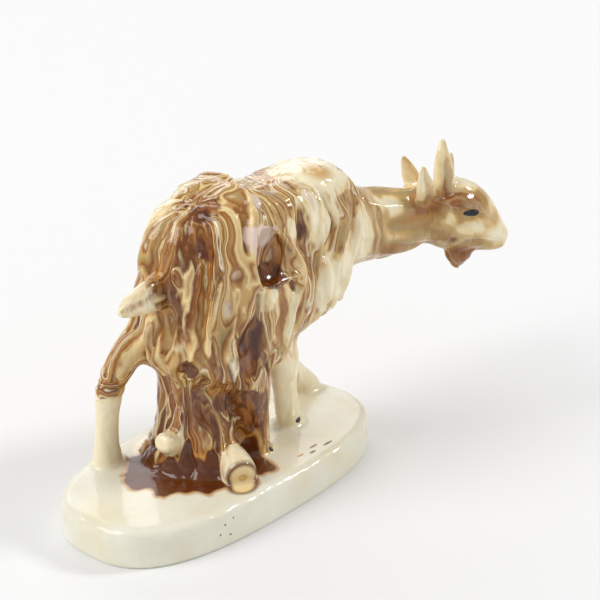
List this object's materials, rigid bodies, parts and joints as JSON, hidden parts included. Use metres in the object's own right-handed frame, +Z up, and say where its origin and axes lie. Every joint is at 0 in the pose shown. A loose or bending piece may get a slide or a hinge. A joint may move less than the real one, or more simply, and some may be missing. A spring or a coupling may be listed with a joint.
{
  "type": "ceramic goat figurine",
  "caption": "Glossy marbled ceramic goat with a shaggy coat, striding on an oval plinth, its belly carried by a lopped tree stump.",
  "frame": {"origin": "centre of the plinth's flat underside", "axes": "+X the way the goat walks, along the plinth's length; +Y the goat's left side; +Z up"},
  "size_m": [0.1429, 0.0477, 0.0845],
  "materials": {
    "ivory_glaze": "glossy",
    "cream_tan_glaze": "glossy",
    "tan_glaze": "glossy",
    "caramel_glaze": "glossy",
    "chocolate_glaze": "glossy"
  },
  "bodies": {
    "root": {"base_plinth": "ivory_glaze", "trunk": "tan_glaze", "neck": "cream_tan_glaze", "head": "cream_tan_glaze", "right_ear": "ivory_glaze", "left_ear": "ivory_glaze", "right_horn": "ivory_glaze", "left_horn": "ivory_glaze", "beard": "tan_glaze", "chest_tuft": "cream_tan_glaze", "tail": "ivory_glaze", "left_hind_leg": "caramel_glaze", "right_hind_leg": "caramel_glaze", "right_foreleg": "cream_tan_glaze", "left_foreleg": "cream_tan_glaze", "support_stump": "chocolate_glaze", "branch_stub": "ivory_glaze", "root_log": "ivory_glaze"}
  },
  "joints": []
}
